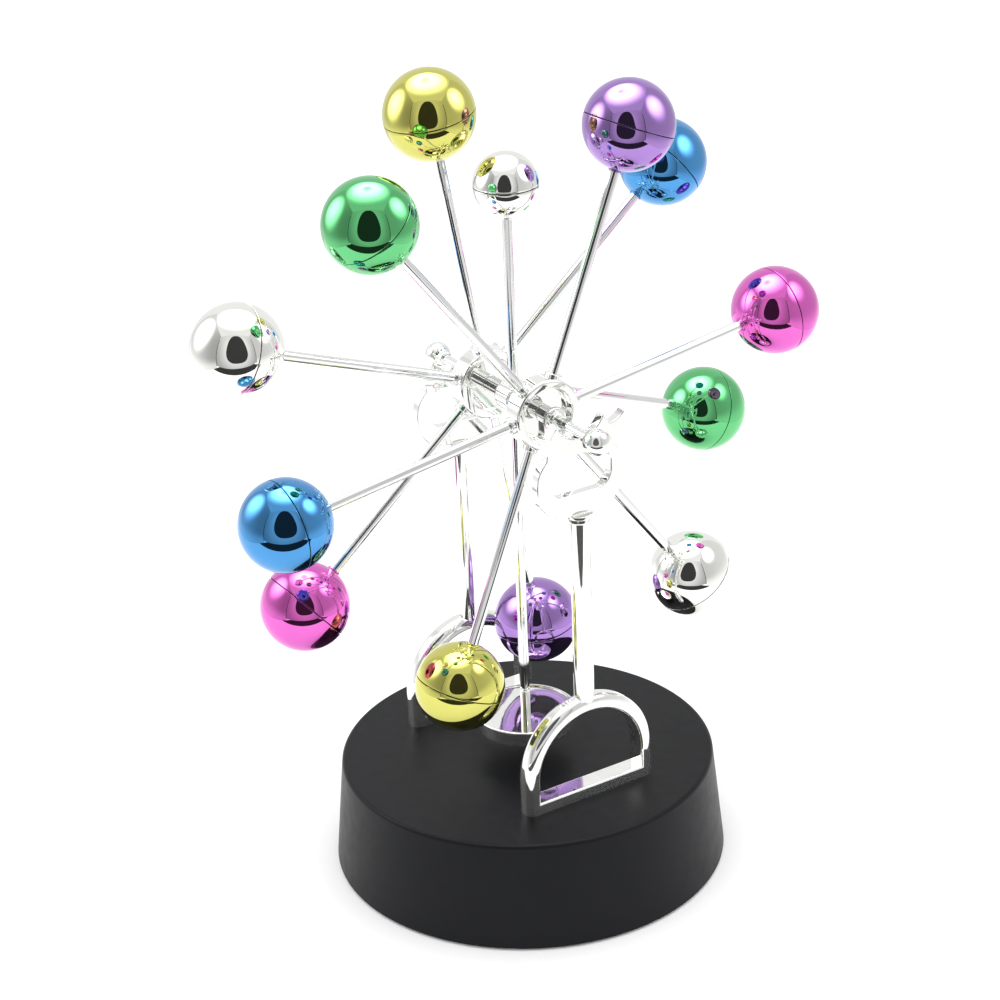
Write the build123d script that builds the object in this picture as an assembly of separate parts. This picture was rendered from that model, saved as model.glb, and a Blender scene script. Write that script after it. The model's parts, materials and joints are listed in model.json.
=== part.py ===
from build123d import *
import os
from math import isclose, sqrt

# Magnetic "ferris wheel" desk toy. A round battery base carries two uprights whose cradle
# brackets hold a shaft. A pendulum is fixed to the shaft, and a six-ball wheel spins freely
# on each side of it.
# Part frame: +Z up, origin on the standing surface under the base's centre, shaft along Y,
# front at -Y. All sizes are in millimetres.

# Base
BASE_HEIGHT = 40.0
BASE_TOP_R = 67.5
BASE_BOTTOM_R = 71.5
BASE_EDGE_R = 1.6
PAD_HEIGHT = 0.8
WALL = 2.2
TOP_WALL = 2.6
COVER_THICKNESS = 3.5
COVER_GAP = 0.3
BOSS_JOIN = 0.5           # how far a boss runs into the wall that it stands on

# Battery compartment: four AA cells side by side, lying along X
CELL_R = 7.1
CELL_LENGTH = 50.0
CELL_COUNT = 4
CELL_PITCH = 14.8
CONTACT_THICKNESS = 0.6
TRAY_WALL = 1.4
DOOR_X = 67.0
DOOR_Y = 68.0
DOOR_THICKNESS = 2.3
DOOR_SCREW_X = 29.5
DOOR_CORNER_R = 1.5
DOOR_BOSS_R = 2.8
GRIP_GROOVES = 5
GRIP_PITCH = 2.0
GRIP_WIDTH = 0.9
GRIP_LENGTH = 22.0
GRIP_INSET = 12.0         # from the door's edge to the middle groove
CELL_NUB_R = 2.7
CELL_NUB_HEIGHT = 1.0
CELL_LIFT = 0.1
CONTACT_SIZE = 10.0

# Drive coil under the pendulum's magnet
CORE_R = 4.0
COIL_R = 14.0
BOBBIN_FLANGE = 1.0
BOBBIN_WALL = 0.8
COIL_Z = 22.0
BOBBIN_OVERHANG = 0.4
COIL_RING_GAP = 0.6
COIL_RING_WALL = 1.8
COIL_RING_DEPTH = 5.0

# Circuit board
BOARD_X = 38.0
BOARD_Z = 29.0
BOARD_WIDTH = 26.0
BOARD_LENGTH = 40.0
BOARD_THICKNESS = 1.6
TRANSISTOR_SIZE = (5.0, 4.0, 5.0)
CAPACITOR_R = 2.5
CAPACITOR_HEIGHT = 6.0
BOARD_PART_X = 5.0        # parts on the board, from its middle
BOARD_PART_Y = 8.0

# Uprights
UPRIGHT_Y = 38.5
FOOT_HALF_WIDTH = 26.5
FOOT_BAND = 5.0
FOOT_LEG = 12.4
FOOT_BAR = 4.2
FOOT_THICKNESS = 7.6
FOOT_EDGE_R = 3.0
FOOT_INNER_EDGE_R = 0.8
PEG_R = 2.0
PEG_HOLE_DEPTH = 4.0
STEM_R = 3.6
STEM_CAP_R = 4.7
STEM_CAP_HEIGHT = 1.2
STEM_FLARE = 1.8
BRACKET_Z = 148.6
BRACKET_HALF_WIDTH = 17.5
BRACKET_THICKNESS = 3.8
BRACKET_EDGE_R = 0.4
RING_HEIGHT = 25.4
RING_CORNER_R = 12.0
HOLE_HALF_WIDTH = 12.0
HOLE_BOTTOM = 7.8
HOLE_HEIGHT = 14.2
HOLE_CORNER_R = 5.5
HORN_X = 18.2
HORN_RISE = 32.6
SPIKE_X = 9.4
SPIKE_RISE = 33.8
WAIST_X = 13.4
WAIST_RISE = 24.0
BRACKET_PEG = 5.5

# Shaft and what is fixed to it
SHAFT_Z = 178.0
SHAFT_R = 1.75
SHAFT_CLEARANCE = 0.06
SHAFT_HALF = 49.0
END_BALL_Y = 50.0
END_BALL_R = 4.7
END_NECK_R = 2.65
END_NECK_LENGTH = 1.2
BLOCK_R = 5.5
BLOCK_HALF = 4.0
SPACER_R = 3.0
COLLAR_LENGTH = 6.0
FLANGE_R = 4.2
FLANGE_THICKNESS = 1.8
COLLAR_LIP = 1.8
COLLAR_LIP_R = 2.7
AXIAL_PLAY = 0.15

# Pendulum
ROD_R = 1.8
ROD_ROOT = 3.0
TOP_BALL_RISE = 75.5
TOP_BALL_R = 11.2
CUP_R = 18.5
CUP_TAPER = 0.9
CUP_BOTTOM_Z = 50.0
CUP_HEIGHT = 6.0
CUP_RIM = 1.2
CUP_RECESS = 0.6
MAGNET_R = 12.0
MAGNET_HEIGHT = 3.2
MAGNET_GAP = 0.3

# Wheels
WHEEL_Y = 17.8
WHEEL_R = 100.0
ARM_R = 1.9
BALL_R = 15.6
SHELL = 1.2
SEAM_CHAMFER = 0.25
LIP_HEIGHT = 1.5
LIP_ROOT = 3.5
LIP_WALL = 0.8
LIP_GAP = 0.08
FERRULE_R = 2.6
FERRULE_LENGTH = 0.9
SOCKET_DEPTH = 5.0
HUB_R = 12.5
HUB_WIDTH = 8.0
HUB_RIM = 3.2
HUB_RECESS = 3.5
HUB_INNER_RECESS = 1.0
HUB_EDGE_R = 0.8
HUB_BOSS_R = 3.1
HUB_BOSS_RISE = 1.4
BALL_COLOURS = ["purple", "magenta", "silver", "yellow", "blue", "green"]
ARM_STEP = 360.0 / len(BALL_COLOURS)
WHEEL_SIDES = {"front": (-1, 22.0), "rear": (1, 170.0)}   # side of the pendulum, purple arm's angle

# Screws
SCREW_R = 1.3
SCREW_HEAD_R = 2.8
SCREW_HEAD_HEIGHT = 1.5
SCREW_SLOT = (3.6, 0.7)   # length and width of each cut of the cross
COVER_SCREW_LENGTH = 15.0
DOOR_SCREW_LENGTH = 7.0
FOOT_SCREW_LENGTH = 12.0
BOSS_R = 4.0
BOSS_CENTRE = 38.2
FOOT_SCREW_X = 24.0
PAD_R = 5.0
PAD_CENTRE_R = 61.0

HOUSING_BOTTOM_Z = PAD_HEIGHT
COVER_TOP_Z = HOUSING_BOTTOM_Z + COVER_THICKNESS
CEILING_Z = BASE_HEIGHT - TOP_WALL
BASE_SLOPE = (BASE_BOTTOM_R - BASE_TOP_R) / (BASE_HEIGHT - HOUSING_BOTTOM_Z)
ARCH_Z = BASE_HEIGHT + FOOT_LEG
CROWN_Z = ARCH_Z + FOOT_HALF_WIDTH
DOOR_TOP_Z = HOUSING_BOTTOM_Z + DOOR_THICKNESS
CELL_Z = DOOR_TOP_Z + CELL_R + CELL_LIFT
TRAY_HALF_X = CELL_LENGTH / 2 + CONTACT_THICKNESS
TRAY_HALF_Y = CELL_COUNT * CELL_PITCH / 2 + 0.4
TRAY_TOP_Z = DOOR_TOP_Z + 2 * CELL_R + 0.8
HUB_INNER_FACE = WHEEL_Y - HUB_WIDTH / 2
HUB_OUTER_FACE = WHEEL_Y + HUB_WIDTH / 2
POCKET_TOP_Z = CUP_BOTTOM_Z + MAGNET_HEIGHT + MAGNET_GAP
WEB_BACK = HUB_INNER_FACE + HUB_INNER_RECESS
WEB_FACE = HUB_OUTER_FACE - HUB_RECESS
FIT = 0.01                # radial gap of pressed pins, rods and sleeves
OVERCUT = 1.0             # how far a cutting tool runs past a face


def cylinder(radius, z_low, z_high, x=0.0, y=0.0):
    """Upright cylinder between two heights."""
    return Pos(x, y, (z_low + z_high) / 2) * Cylinder(radius, z_high - z_low)


def block(half_x, half_y, z_low, z_high):
    """Upright block centred on the Z axis."""
    return Pos(0, 0, (z_low + z_high) / 2) * Box(2 * half_x, 2 * half_y, z_high - z_low)


def four_corners(x, y):
    """The four points (+-x, +-y)."""
    return [(sx * x, sy * y) for sx in (-1, 1) for sy in (-1, 1)]


def base_radius(z):
    """Outer radius of the tapered base at a height."""
    return BASE_BOTTOM_R - BASE_SLOPE * (z - HOUSING_BOTTOM_Z)


def group(solids):
    """One node made of several separate solids."""
    return Compound(children=list(solids))


def upright_plate(face, side, thickness):
    """Extrude an XZ sketch about the plane of the front (-1) or rear (+1) upright."""
    return Pos(0, side * UPRIGHT_Y, 0) * extrude(Plane.XZ * face, thickness / 2, both=True)


def along_shaft(part, side):
    """Turn a part built on +Z so that +Z points outwards along the shaft on one side."""
    return Pos(0, 0, SHAFT_Z) * Rot(-90 * side, 0, 0) * part


def on_arm(part, side, angle):
    """Turn a part built up the +Z arm to its arm angle in the wheel on one side."""
    return Pos(0, side * WHEEL_Y, SHAFT_Z) * Rot(0, angle, 0) * part


# ---------------------------------------------------------------- base

def base_housing():
    """Tapered shell, open below, with screw bosses and a ring that holds the coil bobbin."""
    height = BASE_HEIGHT - HOUSING_BOTTOM_Z
    outer = Pos(0, 0, HOUSING_BOTTOM_Z + height / 2) * Cone(BASE_BOTTOM_R, BASE_TOP_R, height)
    outer = fillet(outer.edges().sort_by(Axis.Z)[-1], BASE_EDGE_R)
    inner_height = CEILING_Z - HOUSING_BOTTOM_Z
    inner = Pos(0, 0, HOUSING_BOTTOM_Z + inner_height / 2) * Cone(
        BASE_BOTTOM_R - WALL, base_radius(CEILING_Z) - WALL, inner_height)
    shell = outer - inner
    for x, y in four_corners(BOSS_CENTRE, BOSS_CENTRE):
        shell += cylinder(BOSS_R, COVER_TOP_Z, CEILING_Z + BOSS_JOIN, x, y)
        shell -= cylinder(SCREW_R, COVER_TOP_Z, COVER_TOP_Z + COVER_SCREW_LENGTH - OVERCUT, x, y)
    ring_z = CEILING_Z - COIL_RING_DEPTH
    ring_r = COIL_R + COIL_RING_GAP
    coil_ring = cylinder(ring_r + COIL_RING_WALL, ring_z, CEILING_Z + BOSS_JOIN)
    shell += coil_ring - cylinder(ring_r, ring_z, CEILING_Z)
    for x, y in four_corners(FOOT_SCREW_X, UPRIGHT_Y):
        shell -= cylinder(SCREW_R + 0.1, CEILING_Z - OVERCUT, BASE_HEIGHT + OVERCUT, x, y)
    return shell


def bottom_cover():
    """Closing plate with the battery tray, which is open below and roofed above."""
    plate = cylinder(base_radius(COVER_TOP_Z) - WALL - COVER_GAP, HOUSING_BOTTOM_Z, COVER_TOP_Z)
    plate -= block(DOOR_X / 2, DOOR_Y / 2, HOUSING_BOTTOM_Z, DOOR_TOP_Z)
    tray = block(TRAY_HALF_X + TRAY_WALL, TRAY_HALF_Y + TRAY_WALL, DOOR_TOP_Z, TRAY_TOP_Z + TRAY_WALL)
    boss_top_z = DOOR_TOP_Z + DOOR_SCREW_LENGTH
    door_boss = cylinder(DOOR_BOSS_R, DOOR_TOP_Z, boss_top_z + OVERCUT, DOOR_SCREW_X)
    plate += tray
    plate += door_boss
    plate -= block(TRAY_HALF_X, TRAY_HALF_Y, DOOR_TOP_Z, TRAY_TOP_Z)
    plate -= cylinder(SCREW_R, DOOR_TOP_Z, boss_top_z, DOOR_SCREW_X)
    for x, y in four_corners(BOSS_CENTRE, BOSS_CENTRE):
        plate -= cylinder(SCREW_R + 0.2, HOUSING_BOTTOM_Z, COVER_TOP_Z, x, y)
        plate -= cylinder(SCREW_HEAD_R + 0.2, HOUSING_BOTTOM_Z, HOUSING_BOTTOM_Z + SCREW_HEAD_HEIGHT, x, y)
    return plate


def battery_door():
    """Flat door let into the bottom cover, held by one screw."""
    door = block(DOOR_X / 2 - COVER_GAP, DOOR_Y / 2 - COVER_GAP, HOUSING_BOTTOM_Z, DOOR_TOP_Z)
    door = fillet(door.edges().filter_by(Axis.Z), DOOR_CORNER_R)
    door -= cylinder(SCREW_R + 0.2, HOUSING_BOTTOM_Z, DOOR_TOP_Z, DOOR_SCREW_X)
    door -= cylinder(SCREW_HEAD_R + 0.2, HOUSING_BOTTOM_Z, HOUSING_BOTTOM_Z + SCREW_HEAD_HEIGHT, DOOR_SCREW_X)
    groove_depth = GRIP_WIDTH / 2
    groove = Pos(0, 0, HOUSING_BOTTOM_Z + groove_depth / 2) * Box(GRIP_LENGTH, GRIP_WIDTH, groove_depth)
    for number in range(GRIP_GROOVES):
        offset = GRIP_PITCH * (number - (GRIP_GROOVES - 1) / 2)
        door -= Pos(0, DOOR_Y / 2 - GRIP_INSET + offset, 0) * groove
    return door


def screw(x, y, z_head, length):
    """Pan-head screw: its head's free face is at z_head and its shank points along +Z."""
    head = cylinder(SCREW_HEAD_R, z_head, z_head + SCREW_HEAD_HEIGHT, x, y)
    long, narrow = SCREW_SLOT
    slot = Pos(x, y, z_head + narrow / 2) * (Box(long, narrow, narrow) + Box(narrow, long, narrow))
    shank = cylinder(SCREW_R - 0.02, z_head + SCREW_HEAD_HEIGHT, z_head + length, x, y)
    return head + shank - slot


def cover_screws():
    """Four screws that hold the bottom cover to the housing's bosses."""
    return group(screw(x, y, HOUSING_BOTTOM_Z, COVER_SCREW_LENGTH)
                 for x, y in four_corners(BOSS_CENTRE, BOSS_CENTRE))


def foot_screws():
    """Four screws from inside the housing up into the legs of the two D-shaped feet."""
    head_z = CEILING_Z - SCREW_HEAD_HEIGHT
    return group(screw(x, y, head_z, FOOT_SCREW_LENGTH) for x, y in four_corners(FOOT_SCREW_X, UPRIGHT_Y))


def rubber_feet():
    """Four thin pads under the bottom cover."""
    centres = [(PAD_CENTRE_R, 0), (-PAD_CENTRE_R, 0), (0, PAD_CENTRE_R), (0, -PAD_CENTRE_R)]
    return group(cylinder(PAD_R, 0, PAD_HEIGHT, x, y) for x, y in centres)


def coil_bobbin():
    """Spool that the drive coil is wound on, pushed up against the ceiling."""
    spool = cylinder(COIL_R + BOBBIN_OVERHANG, COIL_Z, COIL_Z + BOBBIN_FLANGE)
    spool += cylinder(COIL_R + BOBBIN_OVERHANG, CEILING_Z - BOBBIN_FLANGE, CEILING_Z)
    spool += cylinder(CORE_R + BOBBIN_WALL, COIL_Z, CEILING_Z)
    return spool - cylinder(CORE_R, COIL_Z, CEILING_Z)


def drive_coil():
    """Copper winding between the bobbin's flanges."""
    z_low = COIL_Z + BOBBIN_FLANGE
    z_high = CEILING_Z - BOBBIN_FLANGE
    return cylinder(COIL_R, z_low, z_high) - cylinder(CORE_R + BOBBIN_WALL, z_low, z_high)


def coil_core():
    """Iron core inside the bobbin."""
    return cylinder(CORE_R - 2 * FIT, COIL_Z, CEILING_Z)


def circuit_board():
    """Pulse driver board, hung beside the coil, with its transistor and two capacitors."""
    board = Pos(BOARD_X, 0, BOARD_Z) * Box(BOARD_WIDTH, BOARD_LENGTH, BOARD_THICKNESS)
    under = BOARD_Z - BOARD_THICKNESS / 2
    left, right = BOARD_X - BOARD_PART_X, BOARD_X + BOARD_PART_X
    transistor_z = under - TRANSISTOR_SIZE[2] / 2
    transistor = Pos(left, BOARD_PART_Y, transistor_z) * Box(*TRANSISTOR_SIZE)
    capacitors = [cylinder(CAPACITOR_R, under - CAPACITOR_HEIGHT, under, x, -BOARD_PART_Y)
                  for x in (left, right)]
    return group([board, transistor] + capacitors)


def cell_rows():
    """Y positions of the four cells."""
    return [CELL_PITCH * (row - (CELL_COUNT - 1) / 2) for row in range(CELL_COUNT)]


def batteries():
    """Four cells with their raised positive ends, alternating in direction."""
    can = Pos(0, 0, -CELL_NUB_HEIGHT / 2) * Cylinder(CELL_R, CELL_LENGTH - CELL_NUB_HEIGHT)
    nub = Pos(0, 0, (CELL_LENGTH - CELL_NUB_HEIGHT) / 2) * Cylinder(CELL_NUB_R, CELL_NUB_HEIGHT)
    cells = []
    for row, y in enumerate(cell_rows()):
        turn = 90 if row % 2 else -90
        cells.append(Pos(0, y, CELL_Z) * Rot(0, turn, 0) * (can + nub))
    return group(cells)


def battery_contacts():
    """Plated contact plates at both ends of the cells."""
    x = CELL_LENGTH / 2 + CONTACT_THICKNESS / 2
    return group(Pos(side * x, y, CELL_Z) * Box(CONTACT_THICKNESS, CONTACT_SIZE, CONTACT_SIZE)
                 for side in (-1, 1) for y in cell_rows())


# ---------------------------------------------------------------- uprights

def window_edges(body, side, half_width, low_z, high_z):
    """Edges round a foot's window, on its front and back faces."""
    chosen = []
    for edge in body.edges():
        centre = edge.center()
        on_face = isclose(abs(centre.Y - side * UPRIGHT_Y), FOOT_THICKNESS / 2, abs_tol=0.01)
        in_window = abs(centre.X) < half_width + 0.01 and low_z - 0.01 < centre.Z < high_z + 0.01
        if on_face and in_window:
            chosen.append(edge)
    return chosen


def arch_face(half_width, low_z):
    """Face of a D on its side: upright legs from a height up to the arch above them."""
    outline = Polyline((-half_width, ARCH_Z), (-half_width, low_z), (half_width, low_z), (half_width, ARCH_Z))
    outline += ThreePointArc((half_width, ARCH_Z), (0, ARCH_Z + half_width), (-half_width, ARCH_Z))
    return make_face(outline)


def foot_blank(side):
    """Outer shape of a foot, with rounded edges, before its window is cut."""
    body = upright_plate(arch_face(FOOT_HALF_WIDTH, BASE_HEIGHT), side, FOOT_THICKNESS)
    return fillet(body.edges().filter_by(GeomType.CIRCLE) + body.edges().filter_by(Axis.Z), FOOT_EDGE_R)


def foot(side):
    """D-shaped foot: an arch on two short legs, closed by a bar along the base."""
    inner = FOOT_HALF_WIDTH - FOOT_BAND
    bar_z = BASE_HEIGHT + FOOT_BAR
    body = foot_blank(side)
    body -= upright_plate(arch_face(inner, bar_z), side, FOOT_THICKNESS + 2 * OVERCUT)
    body = fillet(window_edges(body, side, inner, bar_z, ARCH_Z + inner), FOOT_INNER_EDGE_R)
    body -= cylinder(PEG_R, CROWN_Z - PEG_HOLE_DEPTH, CROWN_Z + OVERCUT, 0, side * UPRIGHT_Y)
    screw_reach = FOOT_SCREW_LENGTH - SCREW_HEAD_HEIGHT - TOP_WALL
    for x in (-FOOT_SCREW_X, FOOT_SCREW_X):
        top_z = BASE_HEIGHT + screw_reach + OVERCUT
        body -= cylinder(SCREW_R, BASE_HEIGHT - OVERCUT, top_z, x, side * UPRIGHT_Y)
    return body


def stem(side):
    """Round column with a flared cap, saddled on the foot's rounded crown, with a peg at the bottom."""
    y = side * UPRIGHT_Y
    column = cylinder(STEM_R, CROWN_Z - FOOT_EDGE_R, BRACKET_Z, 0, y) - foot_blank(side)
    cap_z = BRACKET_Z - STEM_CAP_HEIGHT
    column += cylinder(STEM_CAP_R, cap_z, BRACKET_Z, 0, y)
    column += Pos(0, y, cap_z - STEM_FLARE / 2) * Cone(STEM_R, STEM_CAP_R, STEM_FLARE)
    column += cylinder(PEG_R - 2 * FIT, CROWN_Z - PEG_HOLE_DEPTH + AXIAL_PLAY, CROWN_Z + OVERCUT, 0, y)
    column -= cylinder(SCREW_R, BRACKET_Z - BRACKET_PEG - 0.5, BRACKET_Z + OVERCUT, 0, y)
    return column


def mirrored(point):
    """The point on the other side of the upright's centre line."""
    return (-point[0], point[1])


def crown_outline():
    """Cradle on top of the ring: a round saddle between two spikes, and a swept horn each side."""
    saddle = (0, SHAFT_Z - SHAFT_R - SHAFT_CLEARANCE)
    spike = (SPIKE_X, BRACKET_Z + SPIKE_RISE)
    notch = (SPIKE_X + 2.6, BRACKET_Z + HORN_RISE - 2.6)
    horn_top = (HORN_X - 0.5, BRACKET_Z + HORN_RISE + 0.4)
    horn_tip = (HORN_X, BRACKET_Z + HORN_RISE)
    horn_under = (HORN_X - 0.2, BRACKET_Z + HORN_RISE - 0.8)
    waist = (WAIST_X, BRACKET_Z + WAIST_RISE)
    root = (WAIST_X, BRACKET_Z + WAIST_RISE - 5)
    outline = ThreePointArc(mirrored(spike), saddle, spike)
    for turn in (lambda point: point, mirrored):
        outline += Line(turn(spike), turn(notch))
        outline += ThreePointArc(turn(notch), turn((notch[0] + 3, notch[1] + 0.9)), turn(horn_top))
        outline += ThreePointArc(turn(horn_top), turn(horn_tip), turn(horn_under))
        outline += ThreePointArc(turn(horn_under), turn((waist[0] + 1.6, waist[1] + 4)), turn(waist))
        outline += Line(turn(waist), turn(root))
    return outline + Line(root, mirrored(root))


def face_edges(plate, side, thickness):
    """Edges of an upright plate on its front and back faces."""
    return [edge for edge in plate.edges()
            if isclose(abs(edge.center().Y - side * UPRIGHT_Y), thickness / 2, abs_tol=0.01)]


def bracket(side):
    """Ring plate with a horned cradle on top and a peg below that stands in the stem."""
    ring_z = BRACKET_Z + RING_HEIGHT / 2
    ring = Pos(0, ring_z) * RectangleRounded(2 * BRACKET_HALF_WIDTH, RING_HEIGHT, RING_CORNER_R)
    hole_z = BRACKET_Z + HOLE_BOTTOM + HOLE_HEIGHT / 2
    hole = Pos(0, hole_z) * RectangleRounded(2 * HOLE_HALF_WIDTH, HOLE_HEIGHT, HOLE_CORNER_R)
    plate = upright_plate(ring + make_face(crown_outline()), side, BRACKET_THICKNESS)
    plate -= upright_plate(hole, side, BRACKET_THICKNESS + 2 * OVERCUT)
    plate = fillet(face_edges(plate, side, BRACKET_THICKNESS), BRACKET_EDGE_R)
    plate += cylinder(SCREW_R - 2 * FIT, BRACKET_Z - BRACKET_PEG, BRACKET_Z + 1, 0, side * UPRIGHT_Y)
    return plate


# ---------------------------------------------------------------- shaft and pendulum

def shaft():
    """Plain rod that carries the pendulum and both wheels."""
    return Pos(0, 0, SHAFT_Z) * Rot(90, 0, 0) * Cylinder(SHAFT_R, 2 * SHAFT_HALF)


def end_ball(side):
    """Ball with a short neck, pressed on one end of the shaft outside its bracket."""
    ball = Pos(0, 0, END_BALL_Y) * Sphere(END_BALL_R)
    ball += cylinder(END_NECK_R, END_BALL_Y - END_BALL_R - END_NECK_LENGTH, END_BALL_Y)
    ball -= cylinder(SHAFT_R + FIT, 0, SHAFT_HALF)
    return along_shaft(ball, side)


def collar(side):
    """Flanged sleeve that keeps the wheel on the shaft."""
    start = WEB_FACE + AXIAL_PLAY
    end = start + COLLAR_LENGTH
    flange = cylinder(FLANGE_R, end, end + FLANGE_THICKNESS)
    body = fillet(flange.edges().filter_by(GeomType.CIRCLE), 0.5)
    body += cylinder(SPACER_R, start, end)
    lip_z = end + FLANGE_THICKNESS
    body += cylinder(COLLAR_LIP_R, lip_z, lip_z + COLLAR_LIP)
    body -= cylinder(SHAFT_R + FIT, start - OVERCUT, lip_z + COLLAR_LIP + OVERCUT)
    return along_shaft(body, side)


def spacers():
    """Two sleeves that stand the hubs off the pendulum block."""
    end = WEB_BACK - AXIAL_PLAY
    sleeve = cylinder(SPACER_R, BLOCK_HALF, end) - cylinder(SHAFT_R + FIT, BLOCK_HALF, end)
    return group(along_shaft(sleeve, side) for side in (-1, 1))


def pendulum_block():
    """Cross block in the middle of the shaft that both pendulum rods are pressed into."""
    body = Pos(0, 0, SHAFT_Z) * Rot(90, 0, 0) * Cylinder(BLOCK_R, 2 * BLOCK_HALF)
    body = fillet(body.edges(), 0.6)
    body -= Pos(0, 0, SHAFT_Z) * Rot(90, 0, 0) * Cylinder(SHAFT_R + FIT, 4 * BLOCK_HALF)
    for low, high in ((ROD_ROOT, BLOCK_R + OVERCUT), (-BLOCK_R - OVERCUT, -ROD_ROOT)):
        body -= cylinder(ROD_R + FIT, SHAFT_Z + low, SHAFT_Z + high)
    return body


def upper_rod():
    """Rod from the block up into the small top ball."""
    return cylinder(ROD_R, SHAFT_Z + ROD_ROOT, SHAFT_Z + TOP_BALL_RISE - TOP_BALL_R + SOCKET_DEPTH)


def lower_rod():
    """Rod from the block down into the magnet cup."""
    return cylinder(ROD_R, POCKET_TOP_Z, SHAFT_Z - ROD_ROOT)


def magnet_cup():
    """Shallow round cup with a raised rim above and a pocket for the magnet below."""
    top_z = CUP_BOTTOM_Z + CUP_HEIGHT
    body = Pos(0, 0, CUP_BOTTOM_Z + CUP_HEIGHT / 2) * Cone(CUP_R - CUP_TAPER, CUP_R, CUP_HEIGHT)
    body = fillet(body.edges(), 0.5)
    body -= cylinder(CUP_R - CUP_RIM, top_z - CUP_RECESS, top_z + OVERCUT)
    body -= cylinder(MAGNET_R + 2 * FIT, CUP_BOTTOM_Z - OVERCUT, POCKET_TOP_Z)
    return body - cylinder(ROD_R + FIT, CUP_BOTTOM_Z, top_z + OVERCUT)


def pendulum_magnet():
    """Disc magnet in the cup's pocket, level with the cup's underside."""
    return cylinder(MAGNET_R, CUP_BOTTOM_Z, CUP_BOTTOM_Z + MAGNET_HEIGHT)


# ---------------------------------------------------------------- balls and wheels

def outer_half_shell(radius):
    """Plain half of a two-part ball centred on the origin, above its seam."""
    ball = split(Sphere(radius), bisect_by=Plane.XY, keep=Keep.TOP)
    ball = chamfer(ball.edges().filter_by(GeomType.CIRCLE), SEAM_CHAMFER)
    return ball - Sphere(radius - SHELL)


def inner_half_shell(radius, rod_radius):
    """Half below the seam, with a lip into the other half, a ferrule and a rod socket."""
    ball = split(Sphere(radius), bisect_by=Plane.XY, keep=Keep.BOTTOM)
    ball = chamfer(ball.edges().filter_by(GeomType.CIRCLE), SEAM_CHAMFER)
    cavity = radius - SHELL
    ball -= Sphere(cavity)
    lip_r = sqrt(cavity ** 2 - LIP_HEIGHT ** 2) - LIP_GAP
    lip = cylinder(lip_r, -LIP_ROOT, LIP_HEIGHT)
    lip -= cylinder(lip_r - LIP_WALL, -LIP_ROOT - OVERCUT, LIP_HEIGHT + OVERCUT)
    ball += lip
    ball += cylinder(FERRULE_R, -radius - FERRULE_LENGTH, SOCKET_DEPTH + 1 - radius)
    return ball - cylinder(rod_radius + FIT, -radius - FERRULE_LENGTH - OVERCUT, SOCKET_DEPTH - radius)


def top_ball_half(half):
    """One half of the small ball on top of the pendulum."""
    shape = outer_half_shell(TOP_BALL_R) if half == "upper" else inner_half_shell(TOP_BALL_R, ROD_R)
    return Pos(0, 0, SHAFT_Z + TOP_BALL_RISE) * shape


def wheel_hub(side):
    """Dished hub: a rim with six arm sockets round a thick web that turns on the shaft."""
    dish_r = HUB_R - HUB_RIM
    hub = fillet(cylinder(HUB_R, HUB_INNER_FACE, HUB_OUTER_FACE).edges(), HUB_EDGE_R)
    hub -= cylinder(dish_r, WEB_FACE, HUB_OUTER_FACE + OVERCUT)
    hub -= cylinder(dish_r, HUB_INNER_FACE - OVERCUT, WEB_BACK)
    hub -= cylinder(SHAFT_R + SHAFT_CLEARANCE, HUB_INNER_FACE, HUB_OUTER_FACE)
    hub = along_shaft(hub, side)
    boss = cylinder(HUB_BOSS_R, dish_r, HUB_R + HUB_BOSS_RISE)
    boss = fillet(boss.edges().sort_by(Axis.Z)[-1], HUB_EDGE_R / 2)
    socket = cylinder(ARM_R + FIT, dish_r - OVERCUT, HUB_R + HUB_BOSS_RISE + OVERCUT)
    for angle in arm_angles(side):
        hub += on_arm(boss, side, angle)
        hub -= on_arm(socket, side, angle)
    return hub


def arm_angles(side):
    """Angle of each arm of a wheel, in the order of the ball colours."""
    start = next(angle for wheel_side, angle in WHEEL_SIDES.values() if wheel_side == side)
    return [start + ARM_STEP * step for step in range(len(BALL_COLOURS))]


def wheel_arms(side):
    """Six straight rods from the hub's rim into the balls."""
    arm = cylinder(ARM_R, HUB_R - HUB_RIM, WHEEL_R - BALL_R + SOCKET_DEPTH)
    return group(on_arm(arm, side, angle) for angle in arm_angles(side))


def wheel_nodes(name, side):
    """Hub, arms and twelve ball halves of one wheel."""
    nodes = {f"{name}_hub": wheel_hub(side), f"{name}_arms": wheel_arms(side)}
    outer = Pos(0, 0, WHEEL_R) * outer_half_shell(BALL_R)
    inner = Pos(0, 0, WHEEL_R) * inner_half_shell(BALL_R, ARM_R)
    for colour, angle in zip(BALL_COLOURS, arm_angles(side)):
        nodes[f"{name}_{colour}_ball_outer"] = on_arm(outer, side, angle)
        nodes[f"{name}_{colour}_ball_inner"] = on_arm(inner, side, angle)
    return nodes


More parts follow.
